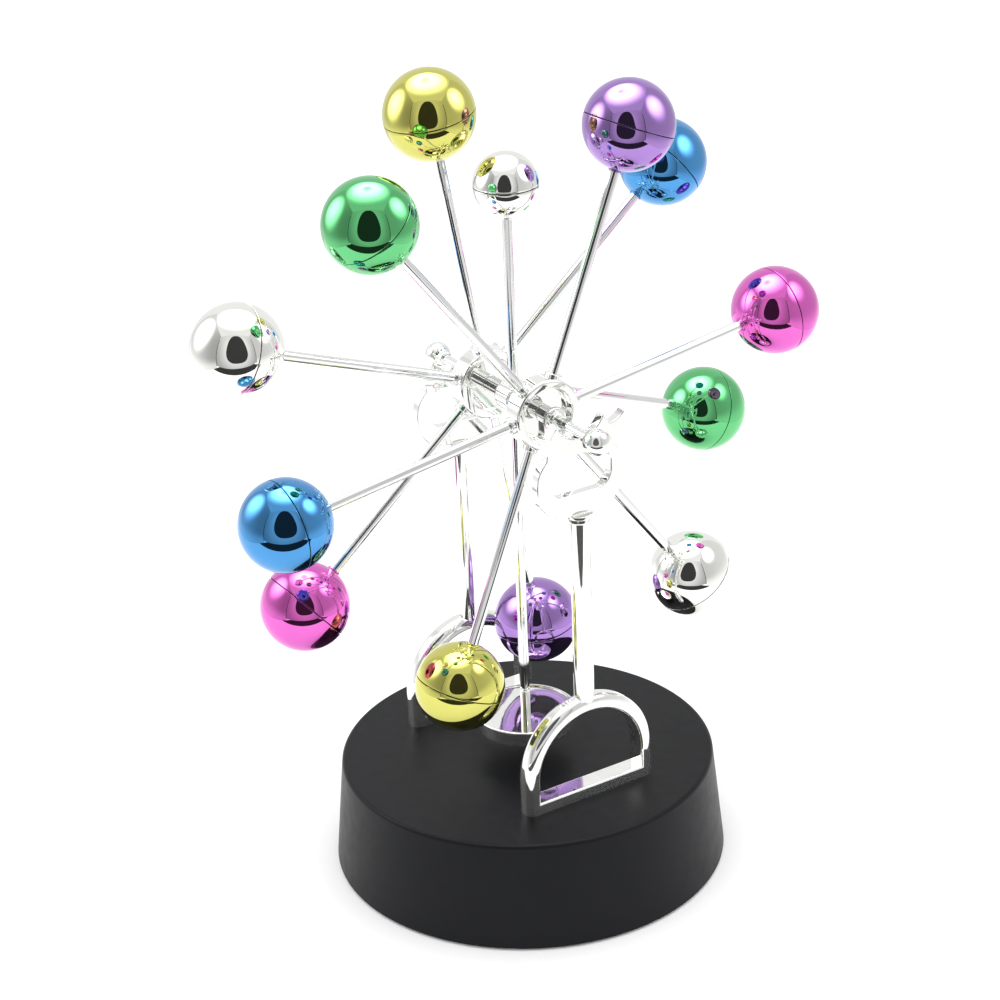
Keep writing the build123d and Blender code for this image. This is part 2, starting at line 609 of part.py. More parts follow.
def all_nodes():
    """Every node of the assembly by name."""
    nodes = {
        "base_housing": base_housing(),
        "bottom_cover": bottom_cover(),
        "battery_door": battery_door(),
        "cover_screws": cover_screws(),
        "door_screw": screw(DOOR_SCREW_X, 0, HOUSING_BOTTOM_Z, DOOR_SCREW_LENGTH),
        "foot_screws": foot_screws(),
        "rubber_feet": rubber_feet(),
        "coil_bobbin": coil_bobbin(),
        "drive_coil": drive_coil(),
        "coil_core": coil_core(),
        "circuit_board": circuit_board(),
        "batteries": batteries(),
        "battery_contacts": battery_contacts(),
        "shaft": shaft(),
        "spacers": spacers(),
        "pendulum_block": pendulum_block(),
        "upper_rod": upper_rod(),
        "lower_rod": lower_rod(),
        "magnet_cup": magnet_cup(),
        "pendulum_magnet": pendulum_magnet(),
        "top_ball_upper": top_ball_half("upper"),
        "top_ball_lower": top_ball_half("lower"),
    }
    for name, (side, _) in WHEEL_SIDES.items():
        nodes[f"{name}_foot"] = foot(side)
        nodes[f"{name}_stem"] = stem(side)
        nodes[f"{name}_bracket"] = bracket(side)
        nodes[f"{name}_end_ball"] = end_ball(side)
        nodes[f"{name}_collar"] = collar(side)
        nodes.update(wheel_nodes(name, side))
    return nodes


os.makedirs("parts", exist_ok=True)
for node_name, node_shape in all_nodes().items():
    export_step(node_shape, f"parts/{node_name}.step")
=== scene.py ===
import json
import math
from collections import namedtuple

import bmesh
import bpy
import numpy as np
from mathutils import Matrix, Vector


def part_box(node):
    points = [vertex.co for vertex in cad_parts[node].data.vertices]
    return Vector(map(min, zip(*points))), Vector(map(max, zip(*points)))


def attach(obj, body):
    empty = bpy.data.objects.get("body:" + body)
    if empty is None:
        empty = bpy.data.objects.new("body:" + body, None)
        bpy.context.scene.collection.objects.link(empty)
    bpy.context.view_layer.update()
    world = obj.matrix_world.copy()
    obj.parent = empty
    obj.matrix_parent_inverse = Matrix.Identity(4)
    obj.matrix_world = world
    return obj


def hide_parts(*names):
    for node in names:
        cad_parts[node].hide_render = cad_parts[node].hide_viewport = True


# A magnetic desk toy: a dark round base, two chrome uprights, a shaft with a pendulum, and two wheels of
# six plated balls. Named sizes of the object are in millimetres, and those of the light tent in metres.

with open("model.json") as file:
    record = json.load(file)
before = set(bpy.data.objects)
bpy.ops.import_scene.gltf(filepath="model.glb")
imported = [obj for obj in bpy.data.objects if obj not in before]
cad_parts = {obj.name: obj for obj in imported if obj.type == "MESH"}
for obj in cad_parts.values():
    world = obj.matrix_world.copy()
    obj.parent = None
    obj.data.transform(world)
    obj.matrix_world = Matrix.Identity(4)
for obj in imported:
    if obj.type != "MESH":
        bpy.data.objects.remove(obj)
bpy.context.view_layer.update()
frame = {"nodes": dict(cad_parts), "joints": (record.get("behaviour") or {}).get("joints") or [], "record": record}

MM = 0.001
NODES = frame["nodes"]
ORIGIN = Vector((0, 0, 0))
UP = Vector((0, 0, 1))
SIDES = {"front": Vector((0, -1, 0)), "rear": Vector((0, 1, 0))}    # the way out from the pendulum
ALONG_SHAFT = SIDES["rear"]
SHAFT_POINT = Vector((0, 0, frame["joints"][0]["pos_m"][2]))        # in metres
COLOURS = ("purple", "magenta", "silver", "yellow", "blue", "green")


# ---------------------------------------------------------------- materials

def new_material(name):
    """A new material, its node tree and the principled shader in it."""
    material = bpy.data.materials.new(name)
    material.use_nodes = True
    tree = material.node_tree
    tree.nodes.clear()
    output = tree.nodes.new("ShaderNodeOutputMaterial")
    shader = tree.nodes.new("ShaderNodeBsdfPrincipled")
    tree.links.new(shader.outputs["BSDF"], output.inputs["Surface"])
    return material, tree, shader


def noise(tree, scale, detail=3.0, squeeze=(1, 1, 1)):
    """Noise over the object's own coordinates, with features about 1 / scale metres wide.
    Squeeze packs them closer along an axis."""
    coords = tree.nodes.new("ShaderNodeTexCoord")
    mapping = tree.nodes.new("ShaderNodeMapping")
    mapping.inputs["Scale"].default_value = squeeze
    texture = tree.nodes.new("ShaderNodeTexNoise")
    texture.inputs["Scale"].default_value = scale
    texture.inputs["Detail"].default_value = detail
    texture.inputs["Roughness"].default_value = 0.55
    tree.links.new(coords.outputs["Object"], mapping.inputs["Vector"])
    tree.links.new(mapping.outputs["Vector"], texture.inputs["Vector"])
    return texture.outputs["Fac"]


def ramp(tree, factor, low, high):
    """Spreads the middle of a noise over the numbers from low to high."""
    node = tree.nodes.new("ShaderNodeMapRange")
    node.inputs["From Min"].default_value = 0.3
    node.inputs["From Max"].default_value = 0.7
    node.inputs["To Min"].default_value = low
    node.inputs["To Max"].default_value = high
    tree.links.new(factor, node.inputs["Value"])
    return node.outputs["Result"]


def blend_colour(tree, factor, first, second):
    """A colour between two, by a factor. A Mix node's colour sockets have no names of their own."""
    first_socket, second_socket, result_socket = 6, 7, 2
    node = tree.nodes.new("ShaderNodeMix")
    node.data_type = "RGBA"
    node.inputs[first_socket].default_value = (*first, 1)
    node.inputs[second_socket].default_value = (*second, 1)
    tree.links.new(factor, node.inputs["Factor"])
    return node.outputs[result_socket]


def add_bump(tree, shader, height, strength, distance):
    """Bumps of a height map, whose full height is a distance in metres."""
    node = tree.nodes.new("ShaderNodeBump")
    node.inputs["Strength"].default_value = strength
    node.inputs["Distance"].default_value = distance
    tree.links.new(height, node.inputs["Height"])
    tree.links.new(node.outputs["Normal"], shader.inputs["Normal"])


def plated(name, colour, roughness=0.03, milky=0.0):
    """Vacuum plating: a mirror with faint haze, slow waves and an uneven tint. Milky is its white share."""
    material, tree, shader = new_material(name)
    duller = tuple(c * 0.93 for c in colour)
    shader.inputs["Metallic"].default_value = 1 - milky
    tint = ramp(tree, noise(tree, 90), 0, 1)
    tree.links.new(blend_colour(tree, tint, colour, duller), shader.inputs["Base Color"])
    haze = ramp(tree, noise(tree, 420, detail=5), roughness * 0.6, roughness * 1.7)
    tree.links.new(haze, shader.inputs["Roughness"])
    add_bump(tree, shader, noise(tree, 160, detail=1), strength=0.05, distance=0.0004)
    return material


def plastic(name, colour, roughness, grain_scale=2600, grain=0.12, specular=0.5):
    """Moulded plastic with a fine spark-eroded grain."""
    material, tree, shader = new_material(name)
    mottled = ramp(tree, noise(tree, 60, detail=4), 0, 1)
    lighter = tuple(min(1, c * 1.18) for c in colour)
    tree.links.new(blend_colour(tree, mottled, colour, lighter), shader.inputs["Base Color"])
    rough = ramp(tree, noise(tree, 220, detail=4), roughness * 0.92, roughness * 1.1)
    tree.links.new(rough, shader.inputs["Roughness"])
    shader.inputs["Specular IOR Level"].default_value = specular
    add_bump(tree, shader, noise(tree, grain_scale, detail=2), strength=grain, distance=0.0001)
    return material


def brushed(name, colour, roughness=0.3, squeeze=(1, 12, 1)):
    """Bare metal with fine lines across the squeezed axis."""
    material, tree, shader = new_material(name)
    shader.inputs["Metallic"].default_value = 1.0
    lines = noise(tree, 900, detail=4, squeeze=squeeze)
    darker = tuple(c * 0.8 for c in colour)
    tint = blend_colour(tree, ramp(tree, lines, 0, 1), colour, darker)
    tree.links.new(tint, shader.inputs["Base Color"])
    tree.links.new(ramp(tree, lines, roughness * 0.7, roughness * 1.3), shader.inputs["Roughness"])
    add_bump(tree, shader, lines, strength=0.2, distance=0.0001)
    return material


def matt(name, colour):
    """An even matt surface with no gloss."""
    material, _, shader = new_material(name)
    shader.inputs["Base Color"].default_value = (*colour, 1)
    shader.inputs["Roughness"].default_value = 0.9
    shader.inputs["Specular IOR Level"].default_value = 0.0
    return material


MATERIALS = {
    "base_plastic": plastic("base_plastic", (0.0034, 0.0037, 0.0054), 0.40, specular=0.16),
    "cover_plastic": plastic("cover_plastic", (0.010, 0.010, 0.011), 0.55),
    "screw_steel": brushed("screw_steel", (0.55, 0.55, 0.56)),
    "pad_rubber": plastic("pad_rubber", (0.02, 0.02, 0.02), 0.8, grain_scale=1500, grain=0.3),
    "bobbin_plastic": plastic("bobbin_plastic", (0.7, 0.7, 0.66), 0.45),
    "copper": brushed("copper", (0.75, 0.33, 0.14), 0.25, squeeze=(1, 1, 30)),
    "iron": brushed("iron", (0.3, 0.3, 0.31), 0.5),
    "board": plastic("board", (0.02, 0.16, 0.06), 0.25, grain_scale=900, grain=0.2),
    "cell_sleeve": plastic("cell_sleeve", (0.05, 0.05, 0.06), 0.2, grain_scale=500, grain=0.05),
    "contact_plating": brushed("contact_plating", (0.7, 0.7, 0.68)),
    "chrome": plated("chrome", (0.90, 0.905, 0.88), 0.035, milky=0.045),
    "polished_steel": plated("polished_steel", (0.86, 0.87, 0.86), 0.05),
    "magnet": brushed("magnet", (0.5, 0.5, 0.52)),
    "ball_silver": plated("ball_silver", (0.91, 0.91, 0.87)),
    "ball_purple": plated("ball_purple", (0.38, 0.22, 0.57)),
    "ball_magenta": plated("ball_magenta", (0.74, 0.15, 0.56)),
    "ball_yellow": plated("ball_yellow", (0.64, 0.62, 0.16)),
    "ball_blue": plated("ball_blue", (0.085, 0.31, 0.65)),
    "ball_green": plated("ball_green", (0.14, 0.54, 0.21)),
}

for subpart in frame["record"]["subparts"]:
    node = NODES[subpart["node"]]
    node.data.materials.clear()
    node.data.materials.append(MATERIALS[subpart["material_slot"]])


# ---------------------------------------------------------------- outlines and meshes

ON_AXIS = 1e-6            # a point nearer to the axis than this is a pole
WELD = 1e-6               # metres between vertices that are joined


def circle_arc(centre, radius, start, end, steps):
    """Points of an arc, with angles in degrees from the first axis toward the second."""
    turns = np.radians(np.linspace(start, end, steps + 1))
    return [(centre[0] + radius * math.cos(t), centre[1] + radius * math.sin(t)) for t in turns]


def rounded_path(corners, steps=5):
    """Points along straight runs between corners of (radius, height) or (radius, height, rounding)."""
    points = []
    for index, (r, h, *rest) in enumerate(corners):
        rounding = rest[0] if rest else 0
        if not rounding:
            points.append((r, h))
            continue
        before = np.subtract(corners[index - 1][:2], (r, h))
        after = np.subtract(corners[(index + 1) % len(corners)][:2], (r, h))
        before = before / np.linalg.norm(before)
        after = after / np.linalg.norm(after)
        half = math.acos(max(-1, min(1, float(before @ after)))) / 2
        middle = before + after
        centre = np.array((r, h)) + middle / np.linalg.norm(middle) * rounding / math.sin(half)
        first = np.array((r, h)) + before * rounding / math.tan(half) - centre
        last = np.array((r, h)) + after * rounding / math.tan(half) - centre
        start = math.atan2(first[1], first[0])
        sweep = (math.atan2(last[1], last[0]) - start + math.pi) % (2 * math.pi) - math.pi
        for step in range(steps + 1):
            angle = start + sweep * step / steps
            points.append((centre[0] + rounding * math.cos(angle), centre[1] + rounding * math.sin(angle)))
    return points


def turned(bm, profile, origin, axis, steps=72, closed=True, slots=None):
    """Adds a profile of (radius, height) points in millimetres, turned about an axis through the origin.
    A closed profile's last point meets its first. Slots are the material slots of its runs."""
    axis = Vector(axis).normalized()
    side = axis.orthogonal().normalized()
    other = axis.cross(side)
    rings = []
    for radius, height in profile:
        centre = Vector(origin) + axis * height * MM
        if radius < ON_AXIS:
            rings.append([bm.verts.new(centre)])
            continue
        ring = []
        for step in range(steps):
            turn = 2 * math.pi * step / steps
            way = side * math.cos(turn) + other * math.sin(turn)
            ring.append(bm.verts.new(centre + way * radius * MM))
        rings.append(ring)
    count = len(rings) if closed else len(rings) - 1
    for index in range(count):
        low, high = rings[index], rings[(index + 1) % len(rings)]
        if len(low) == 1 and len(high) == 1:
            continue
        for step in range(steps):
            following = (step + 1) % steps
            if len(low) == 1:
                corners = (low[0], high[following], high[step])
            elif len(high) == 1:
                corners = (low[step], low[following], high[0])
            else:
                corners = (low[step], low[following], high[following], high[step])
            face = bm.faces.new(corners)
            face.material_index = slots[index] if slots else 0


def finish_piece(name, bm, body, slot, nodes, materials=None, sharp=50):
    """Turns the mesh into a shown piece that rides on a body and stands for its CAD nodes.
    Edges that bend by more than the sharp angle, in degrees, aren't shaded smooth."""
    bmesh.ops.recalc_face_normals(bm, faces=bm.faces)
    mesh = bpy.data.meshes.new(name)
    bm.to_mesh(mesh)
    bm.free()
    for material in materials or [MATERIALS[slot]]:
        mesh.materials.append(material)
    mesh.polygons.foreach_set("use_smooth", [True] * len(mesh.polygons))
    mesh.set_sharp_from_angle(angle=math.radians(sharp))
    obj = bpy.data.objects.new(name, mesh)
    bpy.context.scene.collection.objects.link(obj)
    weighted = obj.modifiers.new("flat_faces", "WEIGHTED_NORMAL")
    weighted.keep_sharp = True
    weighted.weight = 60
    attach(obj, body)
    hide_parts(*nodes)


def smooth_copy(name, body, slot, node):
    """A CAD node's shape with its vertices joined and its curved faces shaded smooth."""
    bm = bmesh.new()
    bm.from_mesh(NODES[node].data)
    bmesh.ops.remove_doubles(bm, verts=bm.verts, dist=WELD)
    for face in bm.faces:
        face.material_index = 0
    finish_piece(name, bm, body, slot, [node], sharp=28)


BAR_EDGE = 0.3


def add_bar(bm, radius, low, high, origin, axis, steps, low_edge=BAR_EDGE):
    """Adds a round bar with eased ends, from a low to a high place along its axis."""
    outline = rounded_path([(0, low), (radius, low, low_edge), (radius, high, BAR_EDGE), (0, high)])
    turned(bm, outline, origin, axis, steps=steps, closed=False)


# ---------------------------------------------------------------- places from the CAD model

def centre_of(*nodes):
    """Middle of the box round one or more CAD nodes."""
    boxes = [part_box(node) for node in nodes]
    low = Vector(min(b[0][k] for b in boxes) for k in range(3))
    high = Vector(max(b[1][k] for b in boxes) for k in range(3))
    return (low + high) / 2


def shaft_reach(node):
    """How near to the pendulum and how far from it a node reaches along the shaft, in millimetres."""
    low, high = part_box(node)
    return sorted((abs(low.y) / MM, abs(high.y) / MM))


def heights(node):
    """A node's lowest and highest places, in millimetres."""
    low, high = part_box(node)
    return low.z / MM, high.z / MM


def wheel_centre(side):
    """Where a wheel's arms meet, on the shaft's axis."""
    return Vector((0, centre_of(f"{side}_arms").y, SHAFT_POINT.z))


# ---------------------------------------------------------------- balls

BALL_R = 15.6
TOP_BALL_R = 11.2
BALL_STEPS = 112          # faces round a ball
SKIN_STEPS = 40           # faces from a ball's pole to its seam
SHELL_WALL = 1.2
SEAM_GAP = 0.13           # half the width of the open seam
SEAM_EDGE = 0.16          # size of the worn edge along the seam
NECK_R = 2.3
NECK_RISE = 0.4
NECK_EDGE = 0.15
NECK_FILLET = 0.08
BORE_EDGE = 0.1
INNER_WALL = 1.4          # the half that holds the rod is thicker
LIP_INSET = 0.62          # from a ball's surface to the lip that enters the other half
LIP_TOP = 1.0
LIP_ROOT = -1.5
LINING_START = -10        # degrees from the ball's middle plane to the inner half's lining
TOP_BALL_LIP = 1.5        # how far the CAD lip of the lower half rises past the ball's centre

bare_plastic = plastic("bare_seam_plastic", (0.012, 0.012, 0.012), 0.6)


def seam_angle(radius):
    """Degrees from the ball's middle plane to where the skin turns in at the seam."""
    return math.degrees(math.asin((SEAM_GAP + SEAM_EDGE) / radius))


def seam_edge(radius, side):
    """The worn edge of the half shell above the seam (side 1) or below it (side -1)."""
    return [(radius - SEAM_EDGE * 0.3, side * (SEAM_GAP + SEAM_EDGE * 0.35)),
            (radius - SEAM_EDGE, side * SEAM_GAP)]


def outer_shell(radius):
    """Profile of the half shell above the seam, and each run's material slot."""
    skin = circle_arc((0, 0), radius, 90, seam_angle(radius), SKIN_STEPS)
    skin[0] = (0, radius)
    edge = seam_edge(radius, 1) + [(radius - SHELL_WALL, SEAM_GAP)]
    lining = circle_arc((0, 0), radius - SHELL_WALL, 2, 90, 16)
    lining[-1] = (0, radius - SHELL_WALL)
    profile = skin + edge + lining
    shown = len(skin) + 1
    return profile, [0] * shown + [1] * (len(profile) - shown)


def inner_shell(radius, rod_r):
    """Profile of the half below the seam: a neck for the rod, and a lip into the other half."""
    root = math.degrees(math.acos(NECK_R / radius))
    neck_top = -radius - NECK_RISE
    neck = [(rod_r, neck_top + BORE_EDGE), (rod_r + BORE_EDGE / 2, neck_top), (NECK_R - NECK_EDGE, neck_top),
            (NECK_R - 0.04, neck_top + 0.05), (NECK_R, neck_top + NECK_EDGE),
            (NECK_R, -radius * math.sin(math.radians(root)) - NECK_FILLET)]
    skin = circle_arc((0, 0), radius, -root + 0.5, -seam_angle(radius), SKIN_STEPS)
    inside = radius - INNER_WALL
    lip = [(radius - LIP_INSET, -SEAM_GAP), (radius - LIP_INSET, LIP_TOP), (inside, LIP_TOP),
           (inside, LIP_ROOT)]
    lining = circle_arc((0, 0), inside, LINING_START, -math.degrees(math.acos(rod_r / inside)), 14)
    profile = neck + skin + seam_edge(radius, -1) + lip + lining
    shown = len(neck) + len(skin) + 1
    return profile, [0] * shown + [1] * (len(profile) - shown)


def add_ball(name, body, slot, centre, axis, radius, rod_r, outer_node, inner_node):
    """Both half shells of a plated ball, with a dark open seam between them."""
    for part, node, (profile, slots) in (("outer", outer_node, outer_shell(radius)),
                                         ("inner", inner_node, inner_shell(radius, rod_r))):
        bm = bmesh.new()
        turned(bm, profile, centre, axis, steps=BALL_STEPS, closed=part == "inner", slots=slots)
        finish_piece(f"{name}_{part}_shell", bm, body, slot, [node],
                     materials=[MATERIALS[slot], bare_plastic], sharp=38)


def ball_halves(side, colour):
    """The CAD nodes of a wheel's ball."""
    return f"{side}_{colour}_ball_outer", f"{side}_{colour}_ball_inner"


def ball_centre(side, colour):
    """Centre of a wheel's ball, from the far sides of its box, which the neck doesn't reach."""
    halves = ball_halves(side, colour)
    boxes = [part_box(half) for half in halves]
    middle = centre_of(*halves)
    for k in (0, 2):
        outward = math.copysign(1, middle[k] - SHAFT_POINT[k])
        far = max(b[1][k] for b in boxes) if outward > 0 else min(b[0][k] for b in boxes)
        middle[k] = far - outward * BALL_R * MM
    return middle


def arm_way(side, colour):
    """The way that an arm points, from the wheel's centre to its ball."""
    return (ball_centre(side, colour) - wheel_centre(side)).normalized()


# ---------------------------------------------------------------- wheels' balls and arms

WHEEL_R = 100.0
ARM_R = 1.9
ARM_INNER = 9.3
ARM_OUTER = 89.4
ARM_INNER_EDGE = 0.2

for side in SIDES:
    hub_centre = wheel_centre(side)
    arms = bmesh.new()
    for colour in COLOURS:
        way = arm_way(side, colour)
        add_ball(f"{side}_{colour}", f"{side}_wheel", f"ball_{colour}", hub_centre + way * WHEEL_R * MM, way,
                 BALL_R, ARM_R, *ball_halves(side, colour))
        add_bar(arms, ARM_R, ARM_INNER, ARM_OUTER, hub_centre, way, steps=40, low_edge=ARM_INNER_EDGE)
    finish_piece(f"{side}_arm_rods", arms, f"{side}_wheel", "polished_steel", [f"{side}_arms"])

PENDULUM_ROD_R = 1.8

top_ball_centre = Vector((0, 0, (heights("top_ball_lower")[1] - TOP_BALL_LIP) * MM))
add_ball("pendulum_top", "pendulum", "ball_silver", top_ball_centre, UP, TOP_BALL_R, PENDULUM_ROD_R,
         "top_ball_upper", "top_ball_lower")


# ---------------------------------------------------------------- hubs, sleeves and shaft

SHAFT_R = 1.75
SHAFT_HALF = 49.0
SLEEVE_R = 3.0            # the spacer sleeves and the collars' sleeves
AXIAL_PLAY = 0.15
BORE_PLAY = 0.06
SPACER_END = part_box("spacers")[1].y / MM

HUB_R = 12.5
HUB_RIM = 3.2
HUB_RIM_DRAFT = 0.25
HUB_WEB_FACE = 18.3
HUB_BOSS_R = 3.1
HUB_BOSS_TOP = 13.9
HUB_BOSS_DEPTH = 2.0      # how far a boss starts inside the rim

COLLAR_LENGTH = 6.0
FLANGE_R = 4.2
FLANGE_THICKNESS = 1.8
FLANGE_EDGE = 0.45
COLLAR_LIP_R = 2.7

KNOB_R = 4.7
KNOB_PLACE = 50.0
KNOB_NECK_R = 2.65
KNOB_FACE = 44.1
KNOB_BORE_EDGE = 0.05

BLOCK_R = 5.5
BLOCK_HALF = 4.0
BLOCK_EDGE = 0.8
BLOCK_BAND = 0.5          # half of the band that the pendulum's rods enter


def add_hub(side, outward):
    """A hub dished on both faces, with a boss for each arm."""
    near, far = shaft_reach(f"{side}_hub")
    bore = SHAFT_R + BORE_PLAY
    rim = HUB_R - HUB_RIM
    web_back = SPACER_END + AXIAL_PLAY
    hub = bmesh.new()
    outline = [(bore, HUB_WEB_FACE, 0.15), (rim, HUB_WEB_FACE, 0.5), (rim + HUB_RIM_DRAFT, far, 0.5),
               (HUB_R, far, 0.9), (HUB_R, near, 0.8), (rim, near, 0.3), (rim, web_back, 0.4),
               (bore, web_back, 0.1)]
    turned(hub, rounded_path(outline), SHAFT_POINT, outward, steps=128)
    boss = rounded_path([(ARM_R, HUB_R - HUB_BOSS_DEPTH), (HUB_BOSS_R, HUB_R - HUB_BOSS_DEPTH),
                         (HUB_BOSS_R, HUB_BOSS_TOP, 0.45), (ARM_R, HUB_BOSS_TOP, 0.15)])
    for colour in COLOURS:
        turned(hub, boss, wheel_centre(side), arm_way(side, colour), steps=40)
    finish_piece(f"{side}_dished_hub", hub, f"{side}_wheel", "chrome", [f"{side}_hub"], sharp=40)


def add_collar(side, outward):
    """A sleeve outside the wheel, with a flange and a thin lip at its far end."""
    start, end = shaft_reach(f"{side}_collar")
    sleeve_end = start + COLLAR_LENGTH
    flange_end = sleeve_end + FLANGE_THICKNESS
    collar = bmesh.new()
    outline = [(SHAFT_R, start), (SLEEVE_R, start, 0.2), (SLEEVE_R, sleeve_end, 0.25),
               (FLANGE_R, sleeve_end, FLANGE_EDGE), (FLANGE_R, flange_end, FLANGE_EDGE),
               (COLLAR_LIP_R, flange_end, 0.25), (COLLAR_LIP_R, end, 0.35), (SHAFT_R, end, 0.1)]
    turned(collar, rounded_path(outline), SHAFT_POINT, outward)
    finish_piece(f"{side}_flanged_collar", collar, "pendulum", "chrome", [f"{side}_collar"], sharp=60)


def add_knob(side, outward):
    """The small ball on the end of the shaft, with a short neck and a blind bore."""
    neck_meets = KNOB_PLACE - math.sqrt(KNOB_R ** 2 - KNOB_NECK_R ** 2)
    profile = [(0, SHAFT_HALF), (SHAFT_R, SHAFT_HALF), (SHAFT_R, KNOB_FACE + KNOB_BORE_EDGE)]
    profile += rounded_path([(SHAFT_R, KNOB_FACE), (KNOB_NECK_R, KNOB_FACE, 0.3),
                             (KNOB_NECK_R, neck_meets)])[1:]
    root = -math.degrees(math.acos(KNOB_NECK_R / KNOB_R)) + 1
    profile += circle_arc((0, KNOB_PLACE), KNOB_R, root, 90, 30)
    profile[-1] = (0, KNOB_PLACE + KNOB_R)
    knob = bmesh.new()
    turned(knob, profile, SHAFT_POINT, outward, closed=False)
    finish_piece(f"{side}_end_knob", knob, "pendulum", "chrome", [f"{side}_end_ball"])


for side, outward in SIDES.items():
    add_hub(side, outward)
    add_collar(side, outward)
    add_knob(side, outward)

sleeves = bmesh.new()
sleeve_outline = rounded_path([(SHAFT_R, BLOCK_HALF), (SLEEVE_R, BLOCK_HALF, 0.2),
                               (SLEEVE_R, SPACER_END, 0.2), (SHAFT_R, SPACER_END)])
for outward in SIDES.values():
    turned(sleeves, sleeve_outline, SHAFT_POINT, outward)
finish_piece("spacer_sleeves", sleeves, "pendulum", "chrome", ["spacers"], sharp=60)

block = bmesh.new()
block_outline = rounded_path([(SHAFT_R, -BLOCK_HALF), (BLOCK_R, -BLOCK_HALF, BLOCK_EDGE),
                              (BLOCK_R, -BLOCK_BAND), (BLOCK_R, BLOCK_BAND),
                              (BLOCK_R, BLOCK_HALF, BLOCK_EDGE), (SHAFT_R, BLOCK_HALF)])
turned(block, block_outline, SHAFT_POINT, ALONG_SHAFT, steps=96)
finish_piece("pendulum_cross_block", block, "pendulum", "chrome", ["pendulum_block"], sharp=60)

axle = bmesh.new()
add_bar(axle, SHAFT_R, -SHAFT_HALF, SHAFT_HALF, SHAFT_POINT, ALONG_SHAFT, steps=56)
finish_piece("axle", axle, "pendulum", "polished_steel", ["shaft"])


# ---------------------------------------------------------------- pendulum

CUP_BOTTOM, CUP_TOP = 50.0, 56.0
CUP_BOTTOM_R = 17.6
CUP_R = 18.5
CUP_RIM_R = 17.35         # inner side of the raised rim
CUP_MIRROR_R = 17.1
CUP_MIRROR_Z = 55.4
CUP_DISH = 0.3            # depth of the mirror's hollow
CUP_POCKET_R = 12.05
CUP_POCKET_TOP = 53.2
CUP_POCKET_EDGE = 0.3
CUP_POCKET_MOUTH_R = 12.4
CUP_FACE_R = 16.9         # where the flat underside starts to round up

for name in ("upper_rod", "lower_rod"):
    rod = bmesh.new()
    add_bar(rod, PENDULUM_ROD_R, *heights(name), ORIGIN, UP, steps=56)
    finish_piece(f"pendulum_{name}", rod, "pendulum", "polished_steel", [name])

cup = bmesh.new()
cup_profile = [(0, CUP_POCKET_TOP), (CUP_POCKET_R, CUP_POCKET_TOP),
               (CUP_POCKET_R, CUP_BOTTOM + CUP_POCKET_EDGE), (CUP_POCKET_MOUTH_R, CUP_BOTTOM),
               (CUP_FACE_R, CUP_BOTTOM)]
cup_profile += rounded_path([(CUP_FACE_R, CUP_BOTTOM), (CUP_BOTTOM_R, CUP_BOTTOM, 0.6),
                             (CUP_R, CUP_TOP, 0.45), (CUP_RIM_R, CUP_TOP, 0.25),
                             (CUP_MIRROR_R, CUP_MIRROR_Z)])[1:-1]
cup_profile += [(r, CUP_MIRROR_Z - CUP_DISH * (1 - (r / CUP_MIRROR_R) ** 2))
                for r in np.linspace(CUP_MIRROR_R, 0, 18)]
turned(cup, cup_profile, ORIGIN, UP, steps=160, closed=False)
finish_piece("magnet_dish", cup, "pendulum", "chrome", ["magnet_cup"], sharp=45)


# ---------------------------------------------------------------- stand

STEM_BOTTOM = 76.3        # inside the crown of the foot
STEM_R = 3.6
STEM_CAP_R = 4.7
STEM_CAP = 1.2
STEM_FLARE = 1.8
BASE_HEIGHT = 40.0
BASE_TOP_R = 67.5
BASE_BOTTOM_R = 71.5
PAD_HEIGHT = 0.8
CEILING = 37.4            # underside of the base's top wall
CEILING_R = 63.0
WALL_TOP_R, WALL_TOP = 65.4, 30.0
WALL_BOTTOM_R = 69.3


def add_stem(side):
    """A round stem that flares to a cap under its bracket."""
    top = heights(f"{side}_stem")[1]
    cap = top - STEM_CAP
    column = bmesh.new()
    turned(column, rounded_path([(0, STEM_BOTTOM), (STEM_R, STEM_BOTTOM), (STEM_R, cap - STEM_FLARE, 1.2),
                                 (STEM_CAP_R, cap, 0.5), (STEM_CAP_R, top, 0.3), (0, top)]),
           (0, centre_of(f"{side}_stem").y, 0), UP, steps=64, closed=False)
    finish_piece(f"{side}_round_stem", column, "stand", "chrome", [f"{side}_stem"])


for side in SIDES:
    smooth_copy(f"{side}_arched_foot", "stand", "chrome", f"{side}_foot")
    smooth_copy(f"{side}_cradle_bracket", "stand", "chrome", f"{side}_bracket")
    add_stem(side)

housing = bmesh.new()
turned(housing, rounded_path([
    (0, CEILING), (CEILING_R, CEILING, 1.5), (WALL_TOP_R, WALL_TOP), (WALL_BOTTOM_R, PAD_HEIGHT, 0.2),
    (BASE_BOTTOM_R, PAD_HEIGHT, 0.5), (BASE_TOP_R, BASE_HEIGHT, 1.6), (0, BASE_HEIGHT)],
    steps=8), ORIGIN, UP, steps=256, closed=False)
finish_piece("tapered_housing", housing, "stand", "base_plastic", ["base_housing"])


# ---------------------------------------------------------------- camera

CAMERA_AZIMUTH = math.radians(-31.6)
CAMERA_ELEVATION = math.radians(24.54)
CAMERA_ROLL = math.radians(2.38)
CAMERA_DISTANCE = 865.22 * MM
CAMERA_TARGET = Vector((0, 0, 150 * MM))
CAMERA_RIGHT, CAMERA_DOWN = -5.75 * MM, 10.01 * MM
CAMERA_LENS = 89.79

